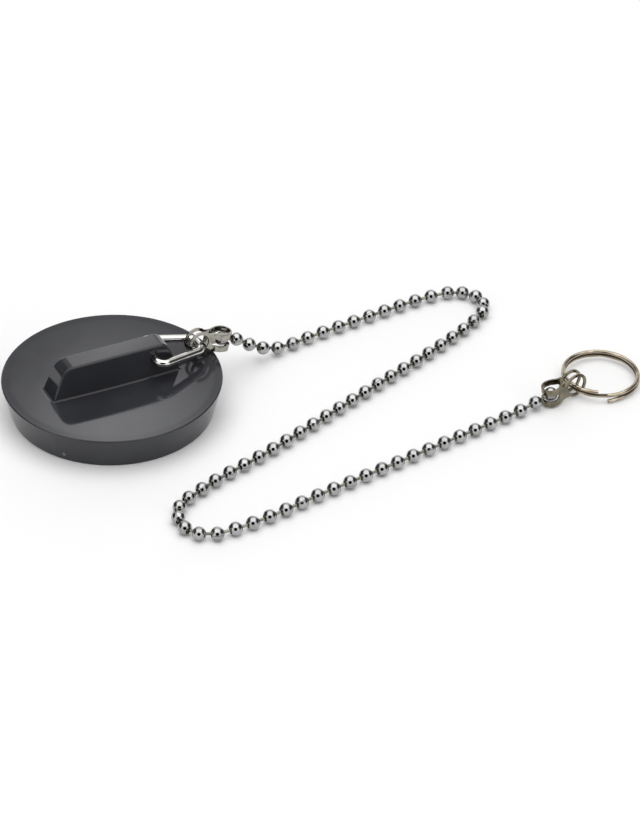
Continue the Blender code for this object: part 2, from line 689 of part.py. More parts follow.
def wire_section():
    """The flattened wire's section, a rectangle with its corners taken off."""
    x, y, cut = RING_WIRE_WIDTH / 2, RING_WIRE_HEIGHT / 2, RING_WIRE_CORNER
    quarter = [(x, y - cut), (x - cut, y)]
    upper = quarter + [(-a, b) for a, b in reversed(quarter)]
    outline = upper + [(-a, -b) for a, b in upper]
    curve = bpy.data.curves.new("ring wire section", "CURVE")
    curve.dimensions = "2D"
    curve.fill_mode = "NONE"
    add_poly_spline(curve, [(a, b, 0.0) for a, b in outline], cyclic=True)
    return add_cutter("ring wire section", curve, Matrix.Identity(4))


def build_ring():
    """The ring's joint is the eyes' axis, so its own frame is there and its middle lies along X."""
    curve = bpy.data.curves.new("split_ring", "CURVE")
    curve.dimensions = "3D"
    curve.twist_mode = "Z_UP"
    curve.bevel_mode = "OBJECT"
    curve.bevel_object = wire_section()
    curve.use_fill_caps = True
    add_poly_spline(curve, ring_path())
    mesh = mesh_of_curve(curve)
    place = frame_at(ring_centre, ring_forward)
    at_eye = Matrix.Translation(ring_eye)
    mesh.transform(at_eye.inverted() @ place)
    smooth(mesh)
    add_part("split_ring", mesh, at_eye, ring_metal)


build_plug()
build_loop()
build_clip("chain_clip", chain_clip_place, CLIP_REACH)
chain_hinges = build_chain()
build_clip("ring_clip", ring_clip_place, 0.0)
build_ring()

# The hinges, for whoever moves the model: piece, place in metres, axis
hinges = [("wire_loop", hole_centre, -hinge_place.col[1].xyz)]
hinges.append(("chain_clip", chain_eye, chain_clip_place.col[1].xyz))
hinges += chain_hinges
hinges.append(("ring_clip", last_bead, ring_clip_place.col[2].xyz))
hinges.append(("split_ring", ring_eye, -ring_clip_place.col[1].xyz))
for name, place, axis in hinges:
    print(name, [round(value, 6) for value in place], [round(value, 5) for value in axis])
print("ring middle", [round(value / MM, 2) for value in ring_centre])
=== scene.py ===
"""The sink plug as photographed: the moulded plug, the wire loop in its grip, a folded clip at each
end of the bead chain, and the split ring. Metres, +Z up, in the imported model's own frame."""

import json
import math

import bmesh
import bpy
from mathutils import Matrix, Vector


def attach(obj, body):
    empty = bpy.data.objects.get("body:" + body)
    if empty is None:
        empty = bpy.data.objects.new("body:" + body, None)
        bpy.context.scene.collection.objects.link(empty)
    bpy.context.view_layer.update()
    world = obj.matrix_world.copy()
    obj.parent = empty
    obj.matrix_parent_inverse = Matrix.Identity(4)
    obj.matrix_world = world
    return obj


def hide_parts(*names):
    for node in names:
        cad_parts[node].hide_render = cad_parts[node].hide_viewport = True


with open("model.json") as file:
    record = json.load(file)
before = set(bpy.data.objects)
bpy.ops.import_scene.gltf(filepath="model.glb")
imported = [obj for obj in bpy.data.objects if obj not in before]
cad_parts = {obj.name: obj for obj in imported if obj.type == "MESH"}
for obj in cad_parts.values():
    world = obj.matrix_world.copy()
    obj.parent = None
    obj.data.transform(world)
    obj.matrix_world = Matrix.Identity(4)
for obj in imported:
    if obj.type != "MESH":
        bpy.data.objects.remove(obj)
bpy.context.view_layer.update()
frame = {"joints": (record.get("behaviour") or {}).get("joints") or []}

# The plug is one moulding of glossy black rubber-like plastic: a disc whose side tapers to its
# foot, and a grip that the mould's two halves draw off, with a small fillet where it meets the disc.
MM = 0.001
UP = Vector((0.0, 0.0, 1.0))
WELD = 0.0005 * MM
DISC_TOP_RADIUS = 25.4 * MM
DISC_FOOT_RADIUS = 23.4 * MM
DISC_HEIGHT = 8.0 * MM
DISC_EDGE_RADIUS = 0.3 * MM
DISC_DISH = 0.7 * MM  # how far the top sinks towards its middle
DISC_DISH_STEPS = 24
DISC_EDGE_STEPS = 7
DISC_STEPS = 192
GATE_RADIUS = 1.6 * MM  # the dimple that the moulding's gate leaves under the disc
GATE_DEPTH = 0.2 * MM
GATE_STEPS = 4
GRIP_HEADING = math.radians(26.9)
GRIP_LENGTH = 31.0 * MM
GRIP_HEIGHT = 7.1 * MM
GRIP_FOOT_WIDTH = 6.5 * MM
GRIP_TOP_WIDTH = 5.0 * MM
GRIP_END_SLOPE = math.radians(21.6)
GRIP_CORNER_RADII = (2.2 * MM, 3.4 * MM)  # at the loop's end and at the other
GRIP_CORNER_STEPS = 14
GRIP_EDGE_RADIUS = 0.45 * MM
GRIP_EDGE_STEPS = 6
GRIP_FILLET = 0.4 * MM
GRIP_FILLET_STEPS = 6
GRIP_FOOT_CUTS = 16  # in a long side of the foot, which follows the dish
GRIP_ROOT = 1.3 * MM  # how far below the disc's rim the grip's flanks still slope
GRIP_SUNK = 0.5 * MM  # how far the grip's own mesh reaches into the disc before they are joined
WIRE_HOLE_RADIUS = 0.97 * MM
WIRE_HOLE_EDGE = 0.08 * MM
WIRE_HOLE_SIDES = 40
WIRE_HOLE_CUT = 12 * MM  # the cutter's length, right through the grip
EDGE_SEGMENTS = 2  # in each rounded edge
PLUG_COLOURS = ((0.0240, 0.0247, 0.0294, 1.0), (0.0298, 0.0307, 0.0362, 1.0))
PLUG_ROUGHNESS = (0.055, 0.095)
NICK_PLACE = (-0.0096, -0.0218, 0.0018)  # low in the front of the disc's side
NICK_RADIUS = 0.7 * MM
NICK_COLOUR = (0.16, 0.16, 0.17, 1.0)


def joint_place(name):
    """A joint's place and its axis, in the frame."""
    joint = next(joint for joint in frame["joints"] if joint["name"] == name)
    return Vector(joint["pos_m"]), Vector(joint["axis"])


def mesh_from(bm, name):
    mesh = bpy.data.meshes.new(name)
    bm.to_mesh(mesh)
    bm.free()
    return mesh


def arc(centre, radius, first, last, steps):
    """Points on an arc, both ends among them."""
    turns = [first + (last - first) * step / steps for step in range(steps + 1)]
    return [(centre[0] + radius * math.cos(t), centre[1] + radius * math.sin(t)) for t in turns]


def lathe(profile, steps):
    """A solid of revolution about Z from (radius, height) points."""
    bm = bmesh.new()
    spots = [bm.verts.new((x, 0.0, z)) for x, z in profile]
    edges = [bm.edges.new(pair) for pair in zip(spots, spots[1:])]
    bmesh.ops.spin(
        bm, geom=spots + edges, cent=(0.0, 0.0, 0.0), axis=UP, angle=math.tau, steps=steps,
        use_merge=True,
    )
    bmesh.ops.remove_doubles(bm, verts=bm.verts, dist=WELD)
    bmesh.ops.recalc_face_normals(bm, faces=bm.faces)
    return bm


def settle(piece):
    """Makes what the piece's modifiers give its own mesh."""
    graph = bpy.context.evaluated_depsgraph_get()
    mesh = bpy.data.meshes.new_from_object(piece.evaluated_get(graph))
    piece.modifiers.clear()
    piece.data = mesh


def join(piece, mesh, operation):
    """Cuts a closed mesh from the piece, adds it, or keeps what both share."""
    tool = bpy.data.objects.new("tool", mesh)
    bpy.context.scene.collection.objects.link(tool)
    step = piece.modifiers.new("join", "BOOLEAN")
    step.operation = operation
    step.object = tool
    settle(piece)
    bpy.data.objects.remove(tool)


def soften(piece, width, edge_angle):
    """Rounds the piece's sharp edges."""
    edges = piece.modifiers.new("soft edges", "BEVEL")
    edges.width = width
    edges.segments = EDGE_SEGMENTS
    edges.limit_method = "ANGLE"
    edges.angle_limit = edge_angle
    edges.use_clamp_overlap = True
    settle(piece)


def even_shading(piece, edge_angle=math.radians(38.0)):
    """Smooth shading in which the large faces stay flat."""
    piece.data.shade_smooth()
    piece.data.set_sharp_from_angle(angle=edge_angle)
    normals = piece.modifiers.new("flat faces", "WEIGHTED_NORMAL")
    normals.keep_sharp = True
    settle(piece)


def new_piece(name, mesh):
    piece = bpy.data.objects.new(name, mesh)
    bpy.context.scene.collection.objects.link(piece)
    return piece


def fit(piece, finish, body, stands_for=()):
    """Gives a finished piece its material, its body and the CAD nodes it stands for."""
    piece.data.materials.clear()
    piece.data.materials.append(finish)
    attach(piece, body)
    if stands_for:
        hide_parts(*stands_for)


class Finish:
    """A material in the making: its node tree, its shader and short ways to add nodes."""

    def __init__(self, name, metallic, ior=1.5):
        self.material = bpy.data.materials.new(name)
        self.material.use_nodes = True
        self.tree = self.material.node_tree
        self.shader = self.tree.nodes["Principled BSDF"]
        self.shader.inputs["Metallic"].default_value = metallic
        self.shader.inputs["IOR"].default_value = ior
        self.place = self.tree.nodes.new("ShaderNodeTexCoord").outputs["Object"]

    def link(self, source, socket):
        self.tree.links.new(source, socket)

    def stretched(self, scale, turn, centre=(0.0, 0.0, 0.0)):
        """The object's coordinates, moved to a centre, turned and then scaled."""
        moved = self.tree.nodes.new("ShaderNodeMapping")
        self.link(self.place, moved.inputs["Vector"])
        moved.vector_type = "TEXTURE"
        moved.inputs["Location"].default_value = centre
        moved.inputs["Rotation"].default_value = turn
        sized = self.tree.nodes.new("ShaderNodeMapping")
        self.link(moved.outputs["Vector"], sized.inputs["Vector"])
        sized.inputs["Scale"].default_value = scale
        return sized.outputs["Vector"]

    def noise(self, scale, detail, source=None):
        made = self.tree.nodes.new("ShaderNodeTexNoise")
        self.link(source or self.place, made.inputs["Vector"])
        made.inputs["Scale"].default_value = scale
        made.inputs["Detail"].default_value = detail
        return made.outputs["Fac"]

    def ramp(self, source, low, high, out_low=0.0, out_high=1.0):
        """A smooth step from one value to another while the source goes from low to high."""
        made = self.tree.nodes.new("ShaderNodeMapRange")
        made.interpolation_type = "SMOOTHSTEP"
        self.link(source, made.inputs["Value"])
        made.inputs["From Min"].default_value = low
        made.inputs["From Max"].default_value = high
        made.inputs["To Min"].default_value = out_low
        made.inputs["To Max"].default_value = out_high
        return made.outputs["Result"]

    def maths(self, operation, first, second):
        made = self.tree.nodes.new("ShaderNodeMath")
        made.operation = operation
        for socket, value in zip(made.inputs, (first, second)):
            if isinstance(value, float):
                socket.default_value = value
            else:
                self.link(value, socket)
        return made.outputs["Value"]

    def mix(self, share, first, second):
        """A colour between two, each a colour or a socket."""
        made = self.tree.nodes.new("ShaderNodeMix")
        made.data_type = "RGBA"
        self.link(share, made.inputs["Factor"])
        colours = [socket for socket in made.inputs if socket.type == "RGBA"]
        for socket, value in zip(colours, (first, second)):
            if isinstance(value, tuple):
                socket.default_value = value
            else:
                self.link(value, socket)
        return next(socket for socket in made.outputs if socket.type == "RGBA")

    def bump(self, height, depth, strength, under=None):
        made = self.tree.nodes.new("ShaderNodeBump")
        made.inputs["Strength"].default_value = strength
        made.inputs["Distance"].default_value = depth
        self.link(height, made.inputs["Height"])
        if under:
            self.link(under, made.inputs["Normal"])
        return made.outputs["Normal"]

    def dress(self, colour, roughness, normal):
        self.link(colour, self.shader.inputs["Base Color"])
        self.link(roughness, self.shader.inputs["Roughness"])
        self.link(normal, self.shader.inputs["Normal"])
        return self.material


def plug_finish():
    """Black plastic: a moulded gloss with a faint flow ripple, fine handling scuffs and dust-dull
    patches, and one small nick in the front of its side."""
    finish = Finish("moulded black", metallic=0.0, ior=1.43)
    cloud = finish.noise(70.0, 2.0)
    grain = finish.noise(3800.0, 2.0)
    ripple = finish.noise(150.0, 1.0)
    scuffs = finish.noise(240.0, 4.0, finish.stretched((1.0, 9.0, 1.0), (0.0, 0.0, 0.7)))
    worn = finish.ramp(scuffs, 0.60, 0.72)
    colour = finish.mix(finish.ramp(cloud, 0.35, 0.65), *PLUG_COLOURS)
    nick = finish.tree.nodes.new("ShaderNodeVectorMath")
    nick.operation = "DISTANCE"
    finish.link(finish.place, nick.inputs[0])
    nick.inputs[1].default_value = NICK_PLACE
    pale = finish.ramp(nick.outputs["Value"], NICK_RADIUS, 0.0)
    colour = finish.mix(pale, colour, NICK_COLOUR)
    gloss = finish.ramp(cloud, 0.3, 0.7, *PLUG_ROUGHNESS)
    gloss = finish.maths("ADD", gloss, finish.maths("MULTIPLY", worn, 0.05))
    gloss = finish.maths("ADD", gloss, finish.maths("MULTIPLY", pale, 0.4))
    skin = finish.bump(grain, 0.004 * MM, 0.5)
    skin = finish.bump(ripple, 0.02 * MM, 0.35, skin)
    return finish.dress(colour, gloss, skin)


def dish_height(radius):
    """The height of the disc's top, a shallow dish, at a distance from its middle."""
    return DISC_HEIGHT - DISC_DISH * (1.0 - (radius / DISC_TOP_RADIUS) ** 2)


def disc_mesh():
    """Turned from its profile: the dished top, the tapered side and the underside with its gate."""
    lean = math.atan2(DISC_TOP_RADIUS - DISC_FOOT_RADIUS, DISC_HEIGHT)
    edge = DISC_EDGE_RADIUS
    top_in = edge * math.tan((math.pi / 2 + lean) / 2)
    foot_in = edge * math.tan((math.pi / 2 - lean) / 2)
    top = (DISC_TOP_RADIUS - top_in, DISC_HEIGHT - edge)
    foot = (DISC_FOOT_RADIUS - foot_in, edge)
    dish = [top[0] * step / DISC_DISH_STEPS for step in range(DISC_DISH_STEPS)]
    profile = [(radius, dish_height(radius)) for radius in dish]
    profile += arc(top, edge, math.pi / 2, -lean, DISC_EDGE_STEPS)
    profile += arc(foot, edge, -lean, -math.pi / 2, DISC_EDGE_STEPS)
    gate = [(GATE_RADIUS + GATE_DEPTH * (1 - math.cos(t)), GATE_DEPTH * (1 - math.sin(t)))
            for t in (math.pi / 2 * step / GATE_STEPS for step in range(GATE_STEPS, -1, -1))]
    profile += [(GATE_RADIUS + 2 * GATE_DEPTH, 0.0)] + gate + [(0.0, GATE_DEPTH)]
    return mesh_from(lathe(profile, DISC_STEPS), "disc")


def grip_mesh():
    """The side outline is given its width, narrowed to the top and rounded, and its foot is drawn
    down to the dished disc and swept out into the fillet."""
    top_reach = GRIP_LENGTH / 2 - GRIP_HEIGHT * math.tan(GRIP_END_SLOPE)
    root_reach = GRIP_LENGTH / 2 + GRIP_ROOT * math.tan(GRIP_END_SLOPE)
    flank_slope = (GRIP_FOOT_WIDTH - GRIP_TOP_WIDTH) / 2 / GRIP_HEIGHT
    bm = bmesh.new()
    corners = [(-root_reach, -GRIP_ROOT), (root_reach, -GRIP_ROOT), (top_reach, GRIP_HEIGHT),
               (-top_reach, GRIP_HEIGHT)]
    spots = [bm.verts.new((x, -0.5, z)) for x, z in corners]
    bm.faces.new(spots)
    turn = math.pi / 2 - GRIP_END_SLOPE
    for spot, radius in zip(spots[2:], GRIP_CORNER_RADII):
        bmesh.ops.bevel(
            bm, geom=[spot], affect="VERTICES", offset=radius * math.tan(turn / 2),
            segments=GRIP_CORNER_STEPS, profile=0.5, material=-1, clamp_overlap=False,
        )
    raised = bmesh.ops.extrude_face_region(bm, geom=list(bm.faces))["geom"]
    moved = [item for item in raised if isinstance(item, bmesh.types.BMVert)]
    bmesh.ops.translate(bm, verts=moved, vec=(0.0, 1.0, 0.0))
    for spot in bm.verts:
        spot.co.y *= GRIP_FOOT_WIDTH - 2 * flank_slope * spot.co.z
    bmesh.ops.recalc_face_normals(bm, faces=bm.faces)
    rims = [edge for edge in bm.edges
            if edge.verts[0].co.y * edge.verts[1].co.y > 0
            and max(spot.co.z for spot in edge.verts) > WELD - GRIP_ROOT]
    bmesh.ops.bevel(
        bm, geom=rims, affect="EDGES", offset=GRIP_EDGE_RADIUS, segments=GRIP_EDGE_STEPS,
        profile=0.5, material=-1, clamp_overlap=True,
    )
    cut = dish_height(root_reach) - DISC_HEIGHT + GRIP_FILLET
    bmesh.ops.bisect_plane(
        bm, geom=list(bm.verts) + list(bm.edges) + list(bm.faces),
        plane_co=(0.0, 0.0, cut), plane_no=(0.0, 0.0, 1.0), clear_inner=True,
    )
    long = [edge for edge in bm.edges if edge.is_boundary and edge.calc_length() > GRIP_TOP_WIDTH]
    bmesh.ops.subdivide_edges(bm, edges=long, cuts=GRIP_FOOT_CUTS)
    core_x = GRIP_LENGTH / 2 - cut * math.tan(GRIP_END_SLOPE) - GRIP_EDGE_RADIUS
    core_y = GRIP_FOOT_WIDTH / 2 - flank_slope * cut - GRIP_EDGE_RADIUS
    loop = [edge for edge in bm.edges if edge.is_boundary]
    for step in range(GRIP_FILLET_STEPS + 2):
        swept = bmesh.ops.extrude_edge_only(bm, edges=loop)["geom"]
        loop = [item for item in swept if isinstance(item, bmesh.types.BMEdge)]
        turn = math.pi / 2 * min(step, GRIP_FILLET_STEPS) / GRIP_FILLET_STEPS
        before = math.pi / 2 * max(step - 1, 0) / GRIP_FILLET_STEPS
        for spot in (item for item in swept if isinstance(item, bmesh.types.BMVert)):
            out = Vector((
                math.copysign(max(abs(spot.co.x) - core_x, 0.0), spot.co.x),
                math.copysign(max(abs(spot.co.y) - core_y, 0.0), spot.co.y),
            )).normalized()
            level = dish_height(spot.co.xy.length) - DISC_HEIGHT + GRIP_FILLET * (1.0 - math.sin(turn))
            if step == 0:
                fall = spot.co.z - level
                spread = Vector((out.x * math.tan(GRIP_END_SLOPE), out.y * flank_slope)) * fall
            elif step <= GRIP_FILLET_STEPS:
                spread = out * GRIP_FILLET * (math.cos(before) - math.cos(turn))
            else:
                spread = Vector((0.0, 0.0))
                level -= GRIP_SUNK
            spot.co = (spot.co.x + spread.x, spot.co.y + spread.y, level)
    bmesh.ops.holes_fill(bm, edges=loop, sides=0)
    bmesh.ops.recalc_face_normals(bm, faces=bm.faces)
    bm.transform(Matrix.Rotation(GRIP_HEADING, 4, "Z"))
    bm.transform(Matrix.Translation((0.0, 0.0, DISC_HEIGHT)))
    return mesh_from(bm, "grip")


def cylinder_mesh(place, axis, radius, length, sides):
    bm = bmesh.new()
    bmesh.ops.create_cone(
        bm, cap_ends=True, segments=sides, radius1=radius, radius2=radius, depth=length
    )
    turn = axis.to_track_quat("Z", "Y").to_matrix().to_4x4()
    bm.transform(Matrix.Translation(place) @ turn)
    return mesh_from(bm, "cylinder")


hole_place, hole_axis = joint_place("wire_loop_hinge")
plug = new_piece("moulded_plug", disc_mesh())
join(plug, grip_mesh(), "UNION")
wire_hole = cylinder_mesh(
    hole_place, hole_axis, WIRE_HOLE_RADIUS, WIRE_HOLE_CUT, WIRE_HOLE_SIDES
)
join(plug, wire_hole, "DIFFERENCE")
soften(plug, WIRE_HOLE_EDGE, math.radians(55.0))
even_shading(plug)
fit(plug, plug_finish(), "plug", ["plug"])

# The wire loop is one length of bright plated wire, bent to a blunt point. Its two ends are sprung
# into the hole through the grip, where they nearly meet, so that it swings like a handle.
WIRE_RADIUS = 0.9 * MM
LOOP_REACH = 12.1 * MM
LOOP_NEAR_HALF_WIDTH = 6.0 * MM
LOOP_FAR_HALF_WIDTH = 5.7 * MM
LOOP_TIP_HALF_WIDTH = 2.6 * MM
LOOP_SIDE_BEND = 1.7 * MM
LOOP_TIP_BEND = 1.7 * MM
LOOP_BEND_STEPS = 20
LOOP_END_GAP = 0.4 * MM  # between the wire's two ends inside the grip
LOOP_SEAT = 0.6 * MM  # above the bottom of the near clip's eyes
WIRE_END_EDGE = 0.1 * MM
EYE_HOLE_RADIUS = 2.25 * MM
LOOP_COLOURS = ((0.56, 0.55, 0.525, 1.0), (0.70, 0.69, 0.66, 1.0))
LOOP_ROUGHNESS = (0.06, 0.14)
LOOP_STREAK = (0.2, 1.0, 1.0)


def frame_at(place, forward, upward=UP):
    """A matrix with X along forward, Y to its left and Z as near upward as that allows."""
    x = forward.normalized()
    y = upward.cross(x).normalized()
    turn = Matrix((x, y, x.cross(y))).transposed().to_4x4()
    return Matrix.Translation(place) @ turn


def rounded_path(corners, radii, steps):
    """The points of a flat path with an arc of its own radius at each inner corner."""
    points = [corners[0]]
    for before, corner, after, radius in zip(corners, corners[1:], corners[2:], radii):
        into = (Vector(corner) - Vector(before)).normalized()
        out = (Vector(after) - Vector(corner)).normalized()
        turn = into.angle_signed(out) * -1
        start = Vector(corner) - into * radius * math.tan(abs(turn) / 2)
        centre = start + Vector((-into.y, into.x)) * math.copysign(radius, turn)
        first = math.atan2(start.y - centre.y, start.x - centre.x)
        points += arc(centre, radius, first, first + turn, steps)
    return points + [corners[-1]]


def wire_mesh(name, points, place, section=None, radius=0.0):
    """Wire of a round or a given section along the points, with flat cut ends."""
    curve = bpy.data.curves.new(name, "CURVE")
    curve.dimensions = "3D"
    curve.use_fill_caps = True
    if section:
        curve.twist_mode = "Z_UP"
        curve.bevel_mode = "OBJECT"
        curve.bevel_object = section
    else:
        curve.bevel_depth = radius
        curve.bevel_resolution = 8
    spline = curve.splines.new("POLY")
    spline.points.add(len(points) - 1)
    for spot, point in zip(spline.points, points):
        spot.co = (*point, 1.0)
    holder = new_piece(name, curve)
    graph = bpy.context.evaluated_depsgraph_get()
    mesh = bpy.data.meshes.new_from_object(holder.evaluated_get(graph))
    bpy.data.objects.remove(holder)
    bm = bmesh.new()
    bm.from_mesh(mesh)
    bmesh.ops.remove_doubles(bm, verts=bm.verts, dist=WELD)
    bmesh.ops.recalc_face_normals(bm, faces=bm.faces)
    bm.transform(place)
    bm.to_mesh(mesh)
    bm.free()
    return mesh


def metal_finish(name, colours, roughness, place, streak=(1.0, 1.0, 1.0)):
    """Plated metal: a cloudy tone, streaks along the way that it was drawn or polished, and the
    fine pits and rub marks of a small stamped part."""
    finish = Finish(name, metallic=1.0)
    turn = place.to_euler()
    along = finish.stretched(streak, tuple(turn), tuple(place.translation))
    cloud = finish.noise(420.0, 3.0)
    lines = finish.noise(1500.0, 3.0, along)
    pits = finish.noise(2600.0, 2.0)
    colour = finish.mix(finish.ramp(cloud, 0.32, 0.68), *colours)
    tarnish = finish.ramp(pits, 0.66, 0.78)
    dull = tuple(value * 0.45 for value in colours[0][:3]) + (1.0,)
    colour = finish.mix(finish.maths("MULTIPLY", tarnish, 0.5), colour, dull)
    gloss = finish.ramp(lines, 0.25, 0.75, *roughness)
    gloss = finish.maths("ADD", gloss, finish.maths("MULTIPLY", tarnish, 0.12))
    skin = finish.bump(lines, 0.006 * MM, 0.5)
    skin = finish.bump(cloud, 0.015 * MM, 0.4, skin)
    return finish.dress(colour, gloss, skin)


eye_place, eye_axis = joint_place("chain_clip_hinge")
grip_forward = Vector((math.cos(GRIP_HEADING), math.sin(GRIP_HEADING), 0.0))
loop_drop = hole_place.z - (eye_place.z - EYE_HOLE_RADIUS + WIRE_RADIUS + LOOP_SEAT)
loop_fall = math.asin(loop_drop / LOOP_REACH)
loop_forward = grip_forward * math.cos(loop_fall) - UP * math.sin(loop_fall)
loop_place = frame_at(hole_place, loop_forward)
loop_corners = [
    (0.0, LOOP_END_GAP / 2),
    (0.0, LOOP_FAR_HALF_WIDTH),
    (LOOP_REACH, LOOP_TIP_HALF_WIDTH),
    (LOOP_REACH, -LOOP_TIP_HALF_WIDTH),
    (0.0, -LOOP_NEAR_HALF_WIDTH),
    (0.0, -LOOP_END_GAP / 2),
]
loop_bends = (LOOP_SIDE_BEND, LOOP_TIP_BEND, LOOP_TIP_BEND, LOOP_SIDE_BEND)
loop_points = [(x, y, 0.0) for x, y in rounded_path(loop_corners, loop_bends, LOOP_BEND_STEPS)]
loop = new_piece("bent_wire_loop", wire_mesh("loop", loop_points, loop_place, radius=WIRE_RADIUS))
soften(loop, WIRE_END_EDGE, math.radians(60.0))
even_shading(loop)
loop_metal = metal_finish(
    "bright loop wire", LOOP_COLOURS, LOOP_ROUGHNESS, loop_place, LOOP_STREAK
)
fit(loop, loop_metal, "wire_loop", ["wire_loop"])

# The near clip is a nickelled steel strip, blanked with an eye at each end and a slot from its
# middle, and folded round the chain's first bead so that its two eyes hook on the wire loop.
STRIP_THICKNESS = 0.4 * MM
STRIP_WIDTH = 4.7 * MM
STRIP_EDGE = 0.07 * MM
EYE_RADIUS = 3.0 * MM
EYE_OFFSET = 1.025 * MM
CLIP_REACH = 6.5 * MM
BOW_RADIUS = 1.95 * MM
NECK_HOLD = 1.3  # above 1, the strip keeps round the bead for longer before it draws in
SLOT_HALF_HEIGHT = 0.84 * MM
LONG_SLOT_REACH = 3.4 * MM
SHORT_SLOT_REACH = 1.0 * MM
BOW_STEPS = 20
NECK_STEPS = 18
EYE_RIM_STEPS = 56
EYE_HOLE_SIDES = 64
SLOT_END_STEPS = 14
OVERRUN = 1.0 * MM  # how far a cutter reaches past what it cuts
SLIVER = 0.05 * MM
NEAR_CLIP_COLOURS = ((0.26, 0.25, 0.215, 1.0), (0.39, 0.375, 0.335, 1.0))
CLIP_ROUGHNESS = (0.07, 0.16)
CLIP_STREAK = (0.06, 0.06, 1.0)


def plate_mesh(outline, first, last, place):
    """A flat outline in X and Z, given its width along Y from first to last."""
    bm = bmesh.new()
    bm.faces.new([bm.verts.new((x, first, z)) for x, z in outline])
    raised = bmesh.ops.extrude_face_region(bm, geom=list(bm.faces))["geom"]
    moved = [item for item in raised if isinstance(item, bmesh.types.BMVert)]
    bmesh.ops.translate(bm, verts=moved, vec=(0.0, last - first, 0.0))
    bmesh.ops.recalc_face_normals(bm, faces=bm.faces)
    bm.transform(place)
    return mesh_from(bm, "plate")


def strip_mesh(place):
    """The strip as folded, from eye to eye and still as wide as the eyes."""
    pinch = CLIP_REACH - EYE_RADIUS
    half = arc((0.0, 0.0), BOW_RADIUS, math.pi, math.pi / 2, BOW_STEPS)
    half[0] = (-BOW_RADIUS, 0.0)
    for step in range(1, NECK_STEPS + 1):
        share = step / NECK_STEPS
        drawn_in = (1.0 + math.cos(math.pi * share**NECK_HOLD)) / 2
        half.append((pinch * share, EYE_OFFSET + (BOW_RADIUS - EYE_OFFSET) * drawn_in))
    half.append((CLIP_REACH + EYE_RADIUS + OVERRUN, EYE_OFFSET))
    path = [(x, -y) for x, y in reversed(half[1:])] + half
    height = EYE_RADIUS + OVERRUN
    bm = bmesh.new()
    spots = [bm.verts.new((x, y, -height)) for x, y in path]
    edges = [bm.edges.new(pair) for pair in zip(spots, spots[1:])]
    raised = bmesh.ops.extrude_edge_only(bm, edges=edges)["geom"]
    moved = [item for item in raised if isinstance(item, bmesh.types.BMVert)]
    bmesh.ops.translate(bm, verts=moved, vec=(0.0, 0.0, 2 * height))
    bm.transform(place)
    return mesh_from(bm, "strip")


def tidy_cuts(piece, gap):
    """Merges the slivers that the cuts leave, which would keep the edges from being rounded."""
    bm = bmesh.new()
    bm.from_mesh(piece.data)
    bmesh.ops.remove_doubles(bm, verts=bm.verts, dist=WELD)
    bmesh.ops.dissolve_degenerate(bm, dist=gap, edges=bm.edges)
    bmesh.ops.dissolve_limit(
        bm, angle_limit=math.radians(1.0), use_dissolve_boundaries=False, verts=bm.verts,
        edges=bm.edges, delimit={"NORMAL"},
    )
    bmesh.ops.recalc_face_normals(bm, faces=bm.faces)
    bm.to_mesh(piece.data)
    bm.free()


def folded_clip(name, place):
    """The folded strip, trimmed to its side outline, with its two slots and its eyes punched."""
    clip = new_piece(name, strip_mesh(place))
    wall = clip.modifiers.new("strip", "SOLIDIFY")
    wall.thickness = STRIP_THICKNESS
    wall.offset = 0.0
    wall.use_even_offset = True
    settle(clip)
    start = -(BOW_RADIUS + STRIP_THICKNESS + OVERRUN)
    meets = math.pi - math.asin(STRIP_WIDTH / 2 / EYE_RADIUS)
    outline = [(start, -STRIP_WIDTH / 2)]
    outline += arc((CLIP_REACH, 0.0), EYE_RADIUS, -meets, meets, EYE_RIM_STEPS)
    outline.append((start, STRIP_WIDTH / 2))
    join(clip, plate_mesh(outline, start, -start, place), "INTERSECT")
    for reach, side in ((LONG_SLOT_REACH, 1), (SHORT_SLOT_REACH, -1)):
        half = SLOT_HALF_HEIGHT
        slot = [(start, -half)]
        slot += arc((reach - half, 0.0), half, -math.pi / 2, math.pi / 2, SLOT_END_STEPS)
        slot.append((start, half))
        near = -side * WELD
        far = -side * start
        join(clip, plate_mesh(slot, min(near, far), max(near, far), place), "DIFFERENCE")
    eye = place @ Vector((CLIP_REACH, 0.0, 0.0))
    across = place.col[1].xyz
    punch = cylinder_mesh(eye, across, EYE_HOLE_RADIUS, -2 * start, EYE_HOLE_SIDES)
    join(clip, punch, "DIFFERENCE")
    tidy_cuts(clip, SLIVER)
    soften(clip, STRIP_EDGE, math.radians(45.0))
    even_shading(clip)
    return clip


first_bead = joint_place("chain_run_00_hinge")[0]
near_place = frame_at(first_bead, eye_place - first_bead)
near_clip = folded_clip("near_folded_clip", near_place)
near_metal = metal_finish(
    "near clip strip", NEAR_CLIP_COLOURS, CLIP_ROUGHNESS, near_place, CLIP_STREAK
)
fit(near_clip, near_metal, "chain_clip", ["chain_clip"])

# The bead chain: each bead is a hollow ball rolled from thin chromed strip, with a fine seam and an
# open mouth at each end, and each steel pin has a head inside the two beads that it links.
BEAD_RADIUS = 1.6 * MM
BEAD_WALL = 0.25 * MM
BEAD_LIP = 0.09 * MM
BEAD_LIP_SHARE = 0.2  # of the wall, to each side of its middle, that the lip stands upright
BEAD_STEPS = 30
BEAD_OUTSIDE_STEPS = 18
BEAD_INSIDE_STEPS = 8
MOUTH_RADIUS = 0.70 * MM
SWING_MOUTH_RADIUS = 0.86 * MM  # of the mouth that a run of beads turns in
SHARP_MOUTH_RADIUS = 0.94 * MM  # the same, where the chain lies in a sharp bend
PIN_RADIUS = 0.35 * MM
HEAD_RADIUS = 0.95 * MM
HEAD_OFFSET = 0.35 * MM  # from the middle of the bead that the pin's ball head is in
HEAD_STEPS = 10
BUTTON_RADIUS = 0.78 * MM
BUTTON_HALF = 0.15 * MM
BUTTON_OFFSET = 0.95 * MM  # from the middle of the bead that its flat head is in
BUTTON_STEPS = 4
PIN_SIDES = 16
